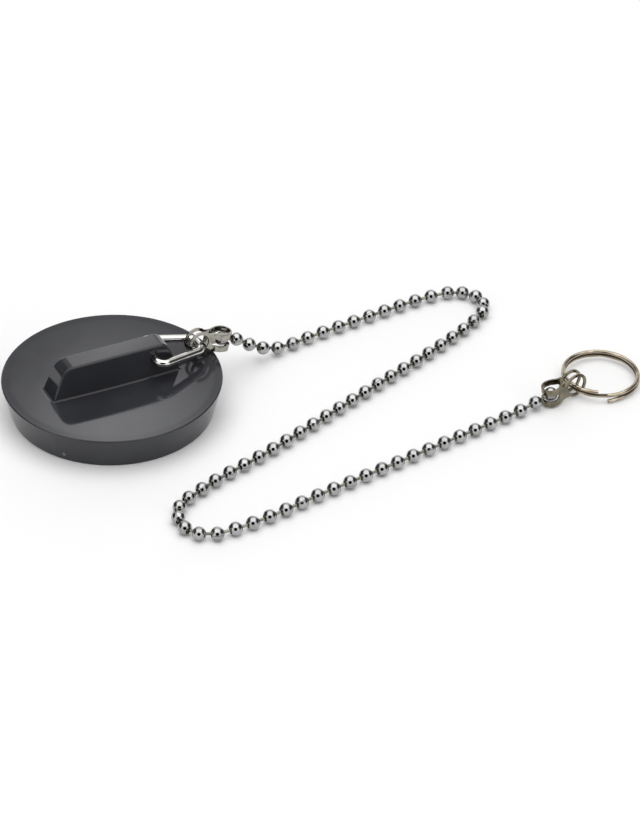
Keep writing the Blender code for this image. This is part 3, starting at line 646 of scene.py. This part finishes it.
BEAD_COUNT = 69
BEADS_IN_A_RUN = 3
SHARP_BEND = math.radians(15.0)  # between two pins
SHARP_LEAN = 1.5  # how much more a bead there follows the pin before it
SEAM_TURN = math.radians(137.5)
BEAD_COLOURS = ((0.333, 0.333, 0.333, 1.0), (0.435, 0.435, 0.433, 1.0))
BEAD_ROUGHNESS = (0.02, 0.07)
SEAM_COLOUR = (0.10, 0.10, 0.10, 1.0)
PIN_COLOURS = ((0.20, 0.20, 0.165, 1.0), (0.30, 0.295, 0.25, 1.0))
PIN_ROUGHNESS = (0.22, 0.38)
BEAD_GAP = 1.2 * MM  # between two beads of the taut chain
START_LIFT_SHARES = (1.0, 0.82, 0.50, 0.23, 0.055)  # of the first bead's height off the table
END_LIFT_SHARES = (1.0, 0.40)
ROUTE_STEPS = 24
ROUTE_SPAN = 100 * MM
ROUTE_SHARES = (  # along and across the span from the first bead, and of the bead gap left there
    (0.000, 0.000, 0.95), (0.064, 0.039, 0.95), (0.132, 0.082, 0.95), (0.201, 0.133, 0.95),
    (0.273, 0.181, 0.95), (0.346, 0.228, 0.95), (0.419, 0.275, 0.95), (0.494, 0.318, 0.95),
    (0.534, 0.334, 0.92), (0.570, 0.335, 0.30), (0.601, 0.320, 0.25), (0.617, 0.291, 0.25),
    (0.615, 0.255, 0.30), (0.594, 0.216, 1.00), (0.542, 0.146, 1.00), (0.455, 0.045, 1.00),
    (0.366, -0.051, 1.00), (0.276, -0.150, 1.00), (0.188, -0.247, 1.00), (0.097, -0.344, 1.00),
    (0.034, -0.404, 1.00), (0.003, -0.435, 0.98), (-0.026, -0.468, 0.92), (-0.054, -0.501, 0.95),
    (-0.073, -0.535, 0.60), (-0.074, -0.574, 0.56), (-0.058, -0.609, 0.56), (-0.027, -0.629, 0.47),
    (0.014, -0.628, 0.69), (0.053, -0.609, 0.95), (0.127, -0.562, 0.98), (0.230, -0.483, 0.99),
    (0.338, -0.405, 0.99), (0.480, -0.301, 0.99), (0.621, -0.198, 0.99), (0.692, -0.145, 0.99),
    (0.763, -0.094, 0.99),
)


def route_curve(start):
    """A smooth curve through the route's points. Each point on it is a place in plan and the share
    of the bead gap that is left there, since the chain is slack in its bends."""
    spots = [Vector((start.x + x * ROUTE_SPAN, start.y + y * ROUTE_SPAN, slack))
             for x, y, slack in ROUTE_SHARES]
    lengths = [(b.xy - a.xy).length for a, b in zip(spots, spots[1:])]
    slopes = [(spots[1] - spots[0]) / lengths[0]]
    for place in range(1, len(spots) - 1):
        before, after = lengths[place - 1], lengths[place]
        into = (spots[place] - spots[place - 1]) / before
        out = (spots[place + 1] - spots[place]) / after
        slopes.append((into * after + out * before) / (before + after))
    slopes.append((spots[-1] - spots[-2]) / lengths[-1])
    curve = []
    for a, b, u, v, length in zip(spots, spots[1:], slopes, slopes[1:], lengths):
        for step in range(ROUTE_STEPS):
            t = step / ROUTE_STEPS
            ease = u * t * (1 - t) * (1 - t) * length - v * t * t * (1 - t) * length
            spot = a + (b - a) * t * t * (3 - 2 * t) + ease
            curve.append(Vector((spot.x, spot.y, a.z + (b.z - a.z) * t)))
    return curve + [spots[-1], 2 * spots[-1] - spots[-2]]


def bead_centres(start, end_height):
    """Beads set one pitch apart along the route, with their heights by their place in the chain."""
    heights = [BEAD_RADIUS] * BEAD_COUNT
    for bead, share in enumerate(START_LIFT_SHARES):
        heights[bead] += (start.z - BEAD_RADIUS) * share
    for bead, share in enumerate(END_LIFT_SHARES):
        heights[BEAD_COUNT - 1 - bead] += (end_height - BEAD_RADIUS) * share
    curve = route_curve(start)
    centres = [Vector((start.x, start.y, heights[0]))]
    position = 0
    for height in heights[1:]:
        last = centres[-1]
        while True:
            here, there = curve[position], curve[position + 1]
            pitch = 2 * BEAD_RADIUS + BEAD_GAP * there.z
            far = (Vector((there.x, there.y, height)) - last).length
            if far >= pitch:
                break
            position += 1
        near = (Vector((here.x, here.y, height)) - last).length
        spot = here.lerp(there, min(1.0, max(0.0, (pitch - near) / (far - near))))
        centres.append(Vector((spot.x, spot.y, height)))
    return centres


def bead_mesh(rear_mouth, front_mouth):
    """One hollow bead about Z, its front mouth upwards: the ball's outside, a rolled lip, its inside
    and the rear lip. Its own map has the way round in U and the way along in V."""
    inner = BEAD_RADIUS - BEAD_WALL

    def side(radius, mouth, lip):
        return math.asin((mouth + lip) / radius)

    outside = arc((0.0, 0.0), BEAD_RADIUS, -math.pi / 2 + side(BEAD_RADIUS, rear_mouth, BEAD_LIP),
                  math.pi / 2 - side(BEAD_RADIUS, front_mouth, BEAD_LIP), BEAD_OUTSIDE_STEPS)
    inside = arc((0.0, 0.0), inner, math.pi / 2 - side(inner, front_mouth, BEAD_LIP),
                 -math.pi / 2 + side(inner, rear_mouth, BEAD_LIP), BEAD_INSIDE_STEPS)
    front_level = (outside[-1][1] + inside[0][1]) / 2
    rear_level = (outside[0][1] + inside[-1][1]) / 2
    spread = (outside[-1][1] - inside[0][1]) * BEAD_LIP_SHARE
    profile = outside
    profile += [(front_mouth, front_level + spread), (front_mouth, front_level - spread)]
    profile += inside
    profile += [(rear_mouth, rear_level + spread), (rear_mouth, rear_level - spread)]
    profile.append(outside[0])
    bm = lathe(profile, BEAD_STEPS)
    chart = bm.loops.layers.uv.new("UVMap")
    for face in bm.faces:
        middle = face.calc_center_median()
        for corner in face.loops:
            spot = corner.vert.co
            around = math.atan2(spot.y, spot.x) - math.atan2(middle.y, middle.x)
            around = (around + math.pi) % math.tau - math.pi
            around = (math.atan2(middle.y, middle.x) % math.tau + around) / math.tau
            corner[chart].uv = (around, 0.5 + spot.z / BEAD_RADIUS / 2)
    return mesh_from(bm, "bead")


def pin_profile(length):
    """From the button head to the far end of the ball head, which is length further on."""
    profile = [(0.0, -BUTTON_HALF)]
    for step in range(1, BUTTON_STEPS + 1):
        turn = math.pi / 2 * step / BUTTON_STEPS
        profile.append((BUTTON_RADIUS * math.sin(turn), -BUTTON_HALF * math.cos(turn)))
    profile.append((PIN_RADIUS, BUTTON_HALF))
    neck = math.asin(PIN_RADIUS / HEAD_RADIUS)
    ball = arc((0.0, length), HEAD_RADIUS, -math.pi / 2 + neck, math.pi / 2, HEAD_STEPS)
    return profile + ball[:-1] + [(0.0, length + HEAD_RADIUS)]


def add_turned(bm, mesh, place, along, spin=0.0):
    """Adds a mesh that was made about Z, turned to point along a direction."""
    before = len(bm.verts)
    bm.from_mesh(mesh)
    bm.verts.ensure_lookup_table()
    turn = along.to_track_quat("Z", "Y").to_matrix().to_4x4()
    moved = Matrix.Translation(place) @ turn @ Matrix.Rotation(spin, 4, "Z")
    bmesh.ops.transform(bm, matrix=moved, verts=bm.verts[before:])


def bead_finish():
    """Bright chrome with a faint orange peel, small rub marks and the bead's rolled seam."""
    finish = Finish("bead chrome", metallic=1.0)
    chart = finish.tree.nodes.new("ShaderNodeTexCoord").outputs["UV"]
    split = finish.tree.nodes.new("ShaderNodeSeparateXYZ")
    finish.link(chart, split.inputs["Vector"])
    off_seam = finish.maths("ABSOLUTE", finish.maths("SUBTRACT", split.outputs["X"], 0.5), 0.0)
    seam = finish.ramp(off_seam, 0.011, 0.004)
    peel = finish.noise(620.0, 2.0)
    rubs = finish.noise(1900.0, 3.0, finish.stretched((1.0, 1.0, 4.0), (0.6, 0.3, 0.2)))
    colour = finish.mix(finish.ramp(peel, 0.3, 0.7), *BEAD_COLOURS)
    colour = finish.mix(finish.maths("MULTIPLY", seam, 0.8), colour, SEAM_COLOUR)
    gloss = finish.ramp(rubs, 0.35, 0.75, *BEAD_ROUGHNESS)
    gloss = finish.maths("ADD", gloss, finish.maths("MULTIPLY", seam, 0.25))
    skin = finish.bump(peel, 0.03 * MM, 0.35)
    skin = finish.bump(seam, -0.03 * MM, 0.8, skin)
    return finish.dress(colour, gloss, skin)


last_bead, far_up = joint_place("ring_clip_hinge")
bead_places = bead_centres(first_bead, last_bead.z)
bead_gaps = [there - here for here, there in zip(bead_places, bead_places[1:])]
plain_bead = bead_mesh(MOUTH_RADIUS, MOUTH_RADIUS)
swing_bead = bead_mesh(SWING_MOUTH_RADIUS, MOUTH_RADIUS)
sharp_bead = bead_mesh(SHARP_MOUTH_RADIUS, MOUTH_RADIUS)
bead_metal = bead_finish()
pin_metal = metal_finish("pin steel", PIN_COLOURS, PIN_ROUGHNESS, Matrix.Identity(4))
for run, first in enumerate(range(0, len(bead_places), BEADS_IN_A_RUN)):
    node = f"chain_run_{run:02d}"
    beads = bmesh.new()
    beads.loops.layers.uv.new("UVMap")
    pins = bmesh.new()
    for bead in range(first, min(first + BEADS_IN_A_RUN, len(bead_places))):
        into = bead_gaps[max(bead - 1, 0)].normalized()
        out = bead_gaps[min(bead, len(bead_gaps) - 1)].normalized()
        axis, shape = (into + out).normalized(), plain_bead
        if bead == first and bead > 0:
            if into.angle(out) < SHARP_BEND:
                axis, shape = into, swing_bead
            else:
                axis, shape = (SHARP_LEAN * into + out).normalized(), sharp_bead
        add_turned(beads, shape, bead_places[bead], axis, SEAM_TURN * bead)
        if bead + 1 < len(bead_places):
            start = bead_places[bead] + out * BUTTON_OFFSET
            length = bead_gaps[bead].length - BUTTON_OFFSET - HEAD_OFFSET
            pin = mesh_from(lathe(pin_profile(length), PIN_SIDES), "pin")
            add_turned(pins, pin, start, out)
    ball_piece = new_piece(f"beads_{run:02d}", mesh_from(beads, node))
    even_shading(ball_piece, math.radians(60.0))
    fit(ball_piece, bead_metal, node, [node])
    if pins.verts:
        pin_piece = new_piece(f"pins_{run:02d}", mesh_from(pins, f"{node} pins"))
        even_shading(pin_piece, math.radians(50.0))
        fit(pin_piece, pin_metal, node)

# The far clip is the same folding as the near one, hooked on the split ring. Its plating has gone
# warmer and duller.
FAR_CLIP_COLOURS = ((0.165, 0.145, 0.105, 1.0), (0.28, 0.25, 0.19, 1.0))
ring_eye = joint_place("split_ring_hinge")[0]
far_place = frame_at(last_bead, ring_eye - last_bead, far_up)
far_clip = folded_clip("far_folded_clip", far_place)
far_metal = metal_finish(
    "far clip strip", FAR_CLIP_COLOURS, CLIP_ROUGHNESS, far_place, CLIP_STREAK
)
fit(far_clip, far_metal, "ring_clip", ["ring_clip"])

# The split ring is two turns of flattened spring wire, coiled tight and nickelled. One end is
# sprung off the coil a little, where a thumbnail would start it onto a hook.
RING_MIDDLE_RADIUS = 8.68 * MM
RING_WIRE_WIDTH = 0.94 * MM
RING_WIRE_HEIGHT = 0.86 * MM
RING_WIRE_ROUND = 0.39 * MM
RING_WIRE_ROUND_STEPS = 4
RING_COIL_PITCH = 0.92 * MM
RING_HEADING = math.radians(41.4)
RING_PULL = 0.35 * MM  # how far past the eyes' middle the ring's wire lies
RING_SEAT = 0.05 * MM  # off the table
HANG_CLEARANCE = 0.12 * MM  # above the bottom of the eyes' holes
RING_LOWER_END = math.radians(-82.0)
RING_WIND = math.radians(705.0)
RING_SPRUNG_ANGLE = math.radians(55.0)
RING_END_DROP = 0.4 * MM
RING_END_SPREAD = 0.35 * MM
RING_STEPS = 260
RING_COLOURS = ((0.300, 0.250, 0.180, 1.0), (0.55, 0.485, 0.39, 1.0))
RING_TARNISH = (0.13, 0.105, 0.07, 1.0)
RING_ROUGHNESS = (0.04, 0.10)
RING_CUT_EDGE = 0.06 * MM
# Painted shade: a dark brown painted into the groove where the two turns meet, standing in for its
# shade.
RING_GROOVE_SHADE = (0.045, 0.032, 0.020, 1.0)
RING_GROOVE_SHADE_REACH = 0.46 * MM  # from where the turns meet


def ring_section():
    """The flattened wire's section, a rectangle with round corners."""
    x, y = RING_WIRE_WIDTH / 2 - RING_WIRE_ROUND, RING_WIRE_HEIGHT / 2 - RING_WIRE_ROUND
    outline = []
    for quarter, (a, b) in enumerate(((x, y), (-x, y), (-x, -y), (x, -y))):
        start = math.pi / 2 * quarter
        outline += arc((a, b), RING_WIRE_ROUND, start, start + math.pi / 2, RING_WIRE_ROUND_STEPS)
    curve = bpy.data.curves.new("ring section", "CURVE")
    curve.dimensions = "2D"
    curve.fill_mode = "NONE"
    spline = curve.splines.new("POLY")
    spline.points.add(len(outline) - 1)
    for spot, (a, b) in zip(spline.points, outline):
        spot.co = (a, b, 0.0, 1.0)
    spline.use_cyclic_u = True
    return new_piece("ring section", curve)


def ring_points():
    """Two even turns that climb by the coil's pitch, the lower end sprung down and out."""
    points = []
    for step in range(RING_STEPS + 1):
        wound = RING_WIND * step / RING_STEPS
        turn = RING_LOWER_END - RING_HEADING + wound
        sprung = max(0.0, 1.0 - wound / RING_SPRUNG_ANGLE) ** 2
        radius = RING_MIDDLE_RADIUS + RING_END_SPREAD * sprung
        height = RING_WIRE_HEIGHT / 2 + RING_COIL_PITCH * wound / math.tau - RING_END_DROP * sprung
        points.append((radius * math.cos(turn), radius * math.sin(turn), height))
    return points


def mark_groove(mesh, place):
    """Notes how near each point is to where the two turns meet, for the painted shade along the groove
    there.
    """
    back = place.inverted()
    mark = mesh.attributes.new("groove", "FLOAT", "POINT")
    for spot, note in zip(mesh.vertices, mark.data):
        here = back @ spot.co
        wound = (math.atan2(here.y, here.x) - RING_LOWER_END + RING_HEADING) % math.tau
        meeting = RING_WIRE_HEIGHT / 2 + RING_COIL_PITCH * (wound / math.tau + 0.5)
        note.value = max(0.0, 1.0 - abs(here.z - meeting) / RING_GROOVE_SHADE_REACH)


def ring_finish(place):
    """Nickelled spring wire: drawing lines that run round the coil, brown tarnish, rub marks, and
    painted shade darkening the groove where the turns meet.
    """
    finish = Finish("ring nickel", metallic=1.0)
    local = finish.stretched((1.0, 1.0, 1.0), tuple(place.to_euler()), tuple(place.translation))
    split = finish.tree.nodes.new("ShaderNodeSeparateXYZ")
    finish.link(local, split.inputs["Vector"])
    across, along = (finish.maths("POWER", split.outputs[name], 2.0) for name in "XY")
    flat = finish.maths("POWER", finish.maths("ADD", across, along), 0.5)
    joined = finish.tree.nodes.new("ShaderNodeCombineXYZ")
    finish.link(flat, joined.inputs["X"])
    finish.link(split.outputs["Z"], joined.inputs["Y"])
    lines = finish.noise(5200.0, 2.0, joined.outputs["Vector"])
    cloud = finish.noise(330.0, 4.0)
    pits = finish.noise(2300.0, 2.0)
    colour = finish.mix(finish.ramp(cloud, 0.33, 0.67), *RING_COLOURS)
    tarnish = finish.ramp(pits, 0.62, 0.76)
    colour = finish.mix(finish.maths("MULTIPLY", tarnish, 0.55), colour, RING_TARNISH)
    groove = finish.tree.nodes.new("ShaderNodeAttribute")
    groove.attribute_name = "groove"
    # Painted shade: darkens and dulls the wire along the groove between the turns.
    groove_shade = finish.ramp(groove.outputs["Fac"], 0.10, 0.70)
    colour = finish.mix(finish.maths("MULTIPLY", groove_shade, 0.9), colour, RING_GROOVE_SHADE)
    gloss = finish.ramp(lines, 0.3, 0.7, *RING_ROUGHNESS)
    gloss = finish.maths("ADD", gloss, finish.maths("MULTIPLY", groove_shade, 0.3))
    skin = finish.bump(lines, 0.008 * MM, 0.5)
    skin = finish.bump(cloud, 0.02 * MM, 0.4, skin)
    return finish.dress(colour, gloss, skin)


ring_bottom = ring_eye.z + HANG_CLEARANCE
ring_bottom -= math.sqrt(EYE_HOLE_RADIUS**2 - (RING_WIRE_WIDTH / 2)**2)
eye_climb = RING_COIL_PITCH * (RING_HEADING + math.pi - RING_LOWER_END) / math.tau
ring_reach = RING_MIDDLE_RADIUS + RING_PULL
ring_tilt = math.asin((ring_bottom - eye_climb - RING_SEAT - RING_END_DROP) / ring_reach)
ring_forward = Vector((
    math.cos(RING_HEADING) * math.cos(ring_tilt),
    math.sin(RING_HEADING) * math.cos(ring_tilt),
    -math.sin(ring_tilt),
))
ring_centre = Vector((ring_eye.x, ring_eye.y, ring_bottom - eye_climb)) + ring_forward * ring_reach
ring_place = frame_at(ring_centre, ring_forward)
section = ring_section()
ring = new_piece("wound_split_ring", wire_mesh("ring", ring_points(), ring_place, section=section))
bpy.data.objects.remove(section)
soften(ring, RING_CUT_EDGE, math.radians(60.0))
even_shading(ring)
mark_groove(ring.data, ring_place)
fit(ring, ring_finish(ring_place), "split_ring", ["split_ring"])

# The setting is no part of the object: a plain white table, the soft light of a white tent with
# its dark sides, and the camera where the photographer stood.
FLOOR_HALF = 2.0
FLOOR_DROP = 0.02 * MM
FLOOR_COLOUR = (0.86, 0.86, 0.86, 1.0)
FLOOR_GLOW = 0.06  # the table is lit from under too, so that its shadows stay pale
CAMERA_PLACE = (0.04766, -0.64513, 0.46450)
CAMERA_ELEVATION = math.radians(35.83)
CAMERA_ROLL = math.radians(1.12)
CAMERA_LENS = 150.57
CAMERA_SENSOR = 36.0
SKY_TOP = 2.05  # the strengths of the tent's light, where the white that the camera sees is 1
SKY_BACK = 0.68
SKY_BACK_LOW = 1.4
SKY_SIDE = 0.06
SKY_FRONT = 1.2
SKY_LAMP = 2.0  # the soft lamp behind the tent's back wall
LAMP_ASIDE = -0.075
LAMP_WIDE = 0.042
LAMP_HIGH = 0.54
LAMP_TALL = 0.145
OPENING_ELEVATION = math.radians(29.0)


def white_table():
    bm = bmesh.new()
    bmesh.ops.create_grid(bm, x_segments=4, y_segments=4, size=FLOOR_HALF)
    bmesh.ops.translate(bm, verts=bm.verts, vec=(0.0, 0.0, -FLOOR_DROP))
    table = new_piece("white_table", mesh_from(bm, "white table"))
    finish = Finish("white table", metallic=0.0)
    finish.shader.inputs["Roughness"].default_value = 0.9
    finish.shader.inputs["Specular IOR Level"].default_value = 0.1
    finish.shader.inputs["Base Color"].default_value = FLOOR_COLOUR
    finish.shader.inputs["Emission Color"].default_value = (1.0, 1.0, 1.0, 1.0)
    finish.shader.inputs["Emission Strength"].default_value = FLOOR_GLOW
    table.data.materials.append(finish.material)


def tent_light():
    """The light comes from all over the tent: strongest overhead, then from its back, with little
    from its sides and the small dark opening that the camera looks through."""
    world = bpy.data.worlds.new("white tent")
    world.use_nodes = True
    bpy.context.scene.world = world
    tree = world.node_tree
    background = tree.nodes["Background"]

    def maths(operation, first, second=0.0, third=0.0):
        made = tree.nodes.new("ShaderNodeMath")
        made.operation = operation
        for socket, value in zip(made.inputs, (first, second, third)):
            if isinstance(value, (int, float)):
                socket.default_value = value
            else:
                tree.links.new(value, socket)
        return made.outputs["Value"]

    def ramp(source, low, high, out_low=0.0, out_high=1.0):
        made = tree.nodes.new("ShaderNodeMapRange")
        made.interpolation_type = "SMOOTHSTEP"
        tree.links.new(source, made.inputs["Value"])
        made.inputs["From Min"].default_value = low
        made.inputs["From Max"].default_value = high
        made.inputs["To Min"].default_value = out_low
        made.inputs["To Max"].default_value = out_high
        return made.outputs["Result"]

    def length(first, second):
        squares = (maths("MULTIPLY", value, value) for value in (first, second))
        return maths("POWER", maths("ADD", *squares), 0.5)

    def blend(share, low, high):
        rest = maths("MULTIPLY", maths("SUBTRACT", 1.0, share), low)
        return maths("ADD", maths("MULTIPLY", share, high), rest)

    way = tree.nodes.new("ShaderNodeTexCoord").outputs["Generated"]
    split = tree.nodes.new("ShaderNodeSeparateXYZ")
    tree.links.new(way, split.inputs["Vector"])
    x, y, z = (split.outputs[name] for name in "XYZ")
    heading = maths("DIVIDE", y, maths("MAXIMUM", length(x, y), 0.001))
    back = ramp(heading, 0.70, 0.90)
    front = ramp(heading, -0.15, -0.60)
    aside = maths("DIVIDE", x, maths("MAXIMUM", y, 0.001))
    aside = maths("DIVIDE", maths("SUBTRACT", aside, LAMP_ASIDE), LAMP_WIDE)
    above = maths("DIVIDE", maths("SUBTRACT", z, LAMP_HIGH), LAMP_TALL)
    lamp = ramp(length(aside, above), 1.0, 0.0, 0.0, SKY_LAMP)
    wall = maths("ADD", ramp(z, 0.40, 0.48, SKY_BACK_LOW, SKY_BACK), lamp)
    low = maths("ADD", maths("MULTIPLY", back, maths("SUBTRACT", wall, SKY_SIDE)), SKY_SIDE)
    low = maths("ADD", low, maths("MULTIPLY", front, SKY_FRONT - SKY_SIDE))
    shone = blend(ramp(z, 0.67, 0.86), low, SKY_TOP)
    aim = tree.nodes.new("ShaderNodeVectorMath")
    aim.operation = "DOT_PRODUCT"
    tree.links.new(way, aim.inputs[0])
    aim.inputs[1].default_value = (0.0, -math.cos(OPENING_ELEVATION), math.sin(OPENING_ELEVATION))
    opening = ramp(aim.outputs["Value"], 0.865, 0.905)
    shone = maths("MULTIPLY", maths("SUBTRACT", 1.0, opening), shone)
    seen = tree.nodes.new("ShaderNodeLightPath").outputs["Is Camera Ray"]
    tree.links.new(blend(seen, shone, 1.0), background.inputs["Strength"])
    background.inputs["Color"].default_value = (1.0, 1.0, 1.0, 1.0)


def photo_camera():
    """Looks along +Y and down, rolled a little clockwise, as the photograph does."""
    data = bpy.data.cameras.new("camera")
    data.sensor_fit = "VERTICAL"
    data.sensor_height = CAMERA_SENSOR
    data.lens = CAMERA_LENS
    data.clip_start = 0.05
    data.clip_end = 20.0
    camera = bpy.data.objects.new("camera", data)
    bpy.context.scene.collection.objects.link(camera)
    level_up = Vector((0.0, math.sin(CAMERA_ELEVATION), math.cos(CAMERA_ELEVATION)))
    forward = Vector((0.0, math.cos(CAMERA_ELEVATION), -math.sin(CAMERA_ELEVATION)))
    cosine, sine = math.cos(CAMERA_ROLL), math.sin(CAMERA_ROLL)
    right = Vector((1.0, 0.0, 0.0)) * cosine + level_up * sine
    upward = level_up * cosine - Vector((1.0, 0.0, 0.0)) * sine
    turn = Matrix((right, upward, -forward)).transposed().to_4x4()
    camera.matrix_world = Matrix.Translation(CAMERA_PLACE) @ turn
    bpy.context.scene.camera = camera


white_table()
tent_light()
photo_camera()
bpy.context.scene.view_settings.view_transform = "Standard"
